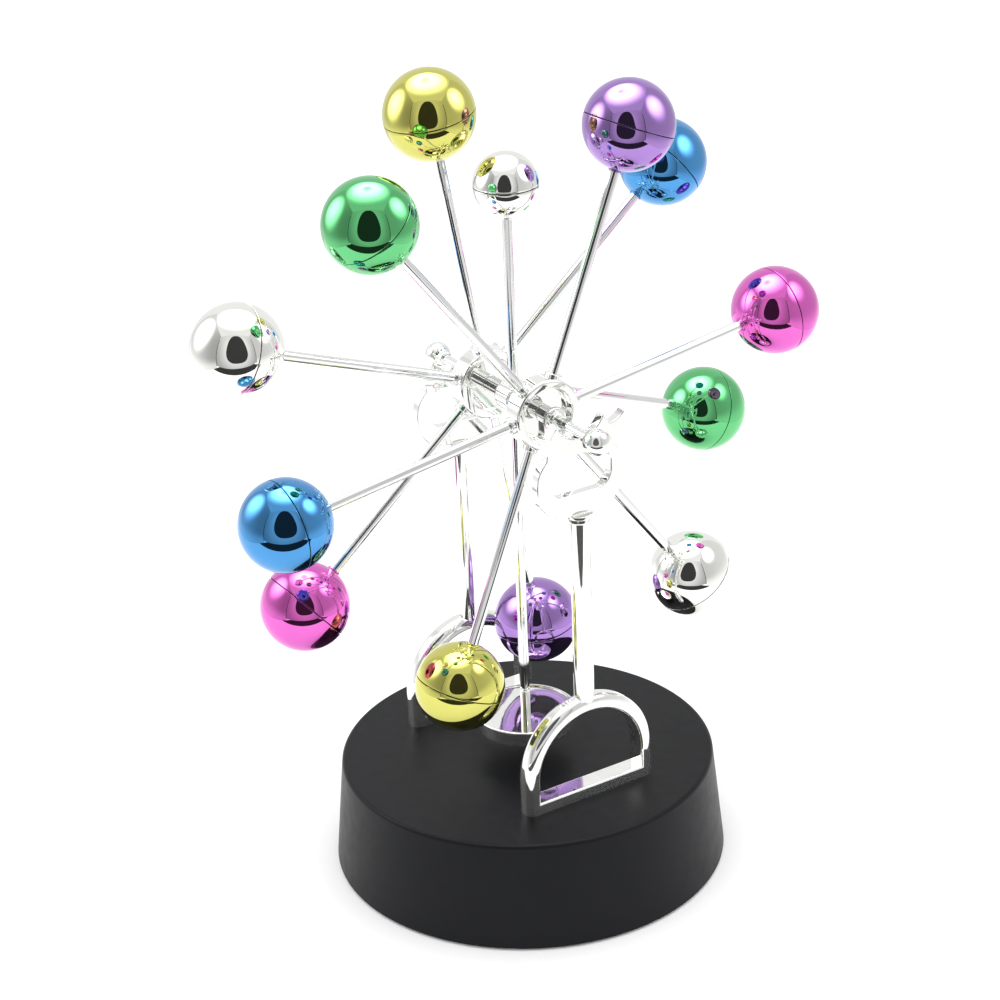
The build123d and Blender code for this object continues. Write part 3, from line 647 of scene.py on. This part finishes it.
back = Vector((math.sin(CAMERA_AZIMUTH) * math.cos(CAMERA_ELEVATION),
               -math.cos(CAMERA_AZIMUTH) * math.cos(CAMERA_ELEVATION),
               math.sin(CAMERA_ELEVATION)))
level_right = (-back).cross(UP).normalized()
level_down = (-back).cross(level_right)
right = math.cos(CAMERA_ROLL) * level_right + math.sin(CAMERA_ROLL) * level_down
down = math.cos(CAMERA_ROLL) * level_down - math.sin(CAMERA_ROLL) * level_right
camera_place = CAMERA_TARGET + back * CAMERA_DISTANCE + right * CAMERA_RIGHT + down * CAMERA_DOWN
camera_data = bpy.data.cameras.new("photo_camera")
camera_data.lens = CAMERA_LENS
camera_data.clip_start = 0.01
camera_data.clip_end = 50
camera = bpy.data.objects.new("photo_camera", camera_data)
camera.matrix_world = Matrix.Translation(camera_place) @ Matrix((right, -down, back)).transposed().to_4x4()
bpy.context.scene.collection.objects.link(camera)
bpy.context.scene.camera = camera


# ---------------------------------------------------------------- light tent and floor

# The tent's own axes, from the middle of the table: across to the camera's right, toward the camera, and up.
TOWARD = Vector((back.x, back.y, 0)).normalized()
ACROSS = Vector((-TOWARD.y, TOWARD.x, 0))
TENT_AXES = Matrix((ACROSS, TOWARD, UP)).transposed().to_4x4()
TENT_LEFT = -0.445
TENT_RIGHT = 0.345
TENT_BACK = -0.45
TENT_FRONT = 0.40
TENT_TOP = 0.75
HEM = 0.045               # the front wall's lower edge
FRONT_MIDDLE_UP = 0.30    # height of the middle of the lit part of the front
ROOF_GLOW, SIDE_GLOW, BACK_GLOW, FRONT_GLOW = 0.95, 0.80, 0.95, 0.45
BLACK_GLOW = 0.045        # black cloth isn't quite black in this light, nor is the painted shade past the table's edge
SIDE_LAMP = 3.9
HEM_GLOW, HEM_GLOW_UP = 0.45, 0.15
WIDE = 9                  # a spot this wide is even across a wall
SPOT_CORE, SPOT_EDGE = 0.1, 1.35    # shares of a spot's size where it starts and stops falling off
LAMP_TALLER = 0.02

LENS_ACROSS = -0.044
OPENING_LOW = 0.135
OPENING_HIGH = 0.70
OPENING_HALF_WIDTH = 0.205
OPENING_TAPER = 0.075     # how much narrower each side is at the top
OPENING_ROUND_UP, OPENING_ROUND_ACROSS = 0.8, 0.7    # 1 is an ellipse, and less is squarer
OPENING_POINTS = 64
OPENING_STAND_OFF = 0.004
TENT_SEAM_STAND_OFF = 0.006
TENT_SEAM_WIDTH = 0.016
TENT_SEAM_TOP = 0.62
TABLE_EDGE = 0.275
TABLE_GAP_END = 1.2
TABLE_GAP_UP = 0.002
FLOOR = 8.0               # half the floor's width
WORLD_LIGHT = 1.6


def stage_mesh(name, corners, material):
    """One flat face of the stage, which isn't part of the object."""
    mesh = bpy.data.meshes.new(name)
    mesh.from_pydata(corners, [], [tuple(range(len(corners)))])
    mesh.materials.append(material)
    obj = bpy.data.objects.new(name, mesh)
    bpy.context.scene.collection.objects.link(obj)
    return obj


def wall(name, corners, material):
    """A flat piece of the tent, with corners in the tent's axes, that only reflections see."""
    obj = stage_mesh(name, corners, material)
    obj.matrix_world = TENT_AXES
    obj.visible_camera = False
    obj.visible_diffuse = False
    obj.visible_shadow = False
    obj.visible_transmission = False


def upright_wall(name, ends, low, material):
    """A tent wall between two (across, toward) ends."""
    (a0, b0), (a1, b1) = ends
    wall(name, [(a0, b0, low), (a1, b1, low), (a1, b1, TENT_TOP), (a0, b0, TENT_TOP)], material)


Spot = namedtuple("Spot", "centre size strength")    # a spot with a negative strength is a shade


def spot_light(tree, spot):
    """A soft spot's light at each place of a wall, which falls off with the distance from its centre."""
    coords = tree.nodes.new("ShaderNodeTexCoord")
    shift = tree.nodes.new("ShaderNodeVectorMath")
    shift.operation = "SUBTRACT"
    shift.inputs[1].default_value = spot.centre
    tree.links.new(coords.outputs["Object"], shift.inputs[0])
    scale = tree.nodes.new("ShaderNodeVectorMath")
    scale.operation = "DIVIDE"
    scale.inputs[1].default_value = spot.size
    tree.links.new(shift.outputs[0], scale.inputs[0])
    length = tree.nodes.new("ShaderNodeVectorMath")
    length.operation = "LENGTH"
    tree.links.new(scale.outputs[0], length.inputs[0])
    fall = tree.nodes.new("ShaderNodeMapRange")
    fall.interpolation_type = "SMOOTHERSTEP"
    fall.inputs["From Min"].default_value = SPOT_CORE
    fall.inputs["From Max"].default_value = SPOT_EDGE
    fall.inputs["To Min"].default_value = spot.strength
    fall.inputs["To Max"].default_value = 0
    tree.links.new(length.outputs["Value"], fall.inputs["Value"])
    return fall.outputs["Result"]


def glow(name, base, spots=()):
    """Light from tent cloth: an even base level, and soft spots added to it."""
    material = bpy.data.materials.new(name)
    material.use_nodes = True
    tree = material.node_tree
    tree.nodes.clear()
    output = tree.nodes.new("ShaderNodeOutputMaterial")
    emission = tree.nodes.new("ShaderNodeEmission")
    emission.inputs["Strength"].default_value = base
    tree.links.new(emission.outputs[0], output.inputs["Surface"])
    total = None
    for spot in spots:
        add = tree.nodes.new("ShaderNodeMath")
        add.operation = "ADD"
        add.inputs[0].default_value = base
        if total is not None:
            tree.links.new(total, add.inputs[0])
        tree.links.new(spot_light(tree, spot), add.inputs[1])
        total = add.outputs[0]
    if total is not None:
        tree.links.new(total, emission.inputs["Strength"])
    return material


def opening_outline():
    """The dark opening round the lens: a rounded shape, wider at the bottom."""
    corners = []
    for index in range(OPENING_POINTS):
        angle = 2 * math.pi * index / OPENING_POINTS
        c, s = math.cos(angle), math.sin(angle)
        level = 0.5 + 0.5 * math.copysign(abs(s) ** OPENING_ROUND_UP, s)
        half_width = OPENING_HALF_WIDTH - OPENING_TAPER * level
        corners.append((LENS_ACROSS + half_width * math.copysign(abs(c) ** OPENING_ROUND_ACROSS, c),
                        TENT_FRONT - OPENING_STAND_OFF, OPENING_LOW + (OPENING_HIGH - OPENING_LOW) * level))
    return corners


wall("tent_roof", [(TENT_LEFT, TENT_BACK, TENT_TOP), (TENT_RIGHT, TENT_BACK, TENT_TOP),
                   (TENT_RIGHT, TENT_FRONT, TENT_TOP), (TENT_LEFT, TENT_FRONT, TENT_TOP)],
     glow("tent_roof", ROOF_GLOW, [
         Spot(centre=(-0.06, -0.16, TENT_TOP), size=(0.34, 0.36, 1), strength=6.0),
         Spot(centre=(-0.06, -0.14, TENT_TOP), size=(0.08, 0.09, 1), strength=-4.0)]))

# Each side wall has one lamp, a glowing hem and a shaded front corner.
for name, across, lamp_toward, lamp_up, lamp_width, shade in (
        ("tent_left", TENT_LEFT, -0.09, 0.44, 0.22, -0.38),
        ("tent_right", TENT_RIGHT, 0.01, 0.52, 0.18, -0.15)):
    upright_wall(name, ((across, TENT_BACK), (across, TENT_FRONT)), 0, glow(name, SIDE_GLOW, [
        Spot((across, lamp_toward, lamp_up), (1, lamp_width, lamp_width + LAMP_TALLER), SIDE_LAMP),
        Spot((across, 0, 0), (1, WIDE, HEM_GLOW_UP), HEM_GLOW),
        Spot((across, TENT_FRONT, FRONT_MIDDLE_UP), (1, 0.42, 0.9), shade)]))
upright_wall("tent_back", ((TENT_LEFT, TENT_BACK), (TENT_RIGHT, TENT_BACK)), 0, glow("tent_back", BACK_GLOW))
upright_wall("tent_front", ((TENT_LEFT, TENT_FRONT), (TENT_RIGHT, TENT_FRONT)), HEM,
             glow("tent_front", FRONT_GLOW, [
                 Spot(centre=(-0.05, TENT_FRONT, TENT_TOP), size=(0.6, 1, 0.45), strength=0.4),
                 Spot((LENS_ACROSS, TENT_FRONT, FRONT_MIDDLE_UP), size=(0.34, 1, 0.36), strength=0.5)]))

black = glow("stage_black", BLACK_GLOW)
wall("lens_opening", opening_outline(), black)
seam_toward = TENT_FRONT - TENT_SEAM_STAND_OFF
for index, across in enumerate((TENT_LEFT, TENT_RIGHT - TENT_SEAM_WIDTH)):
    far_side = across + TENT_SEAM_WIDTH
    wall(f"tent_seam_{index}", [
        (across, seam_toward, HEM), (far_side, seam_toward, HEM),
        (far_side, seam_toward, TENT_SEAM_TOP), (across, seam_toward, TENT_SEAM_TOP)], black)
# Painted shade: a black sheet over the floor past the table's edge, seen only in reflections, stands for the
# shadowed drop beyond the table.
wall("table_gap_shade", [(TENT_LEFT, TABLE_EDGE, TABLE_GAP_UP), (TENT_RIGHT, TABLE_EDGE, TABLE_GAP_UP),
                   (TENT_RIGHT, TABLE_GAP_END, TABLE_GAP_UP), (TENT_LEFT, TABLE_GAP_END, TABLE_GAP_UP)],
     black)

stage_mesh("floor", [(-FLOOR, -FLOOR, 0), (FLOOR, -FLOOR, 0), (FLOOR, FLOOR, 0), (-FLOOR, FLOOR, 0)],
           matt("floor_paper", (0.9, 0.9, 0.9)))

world = bpy.data.worlds.new("studio")
world.use_nodes = True
background = world.node_tree.nodes["Background"]
background.inputs["Color"].default_value = (1, 1, 1, 1)
background.inputs["Strength"].default_value = WORLD_LIGHT
bpy.context.scene.world = world
bpy.context.scene.view_settings.view_transform = "Standard"
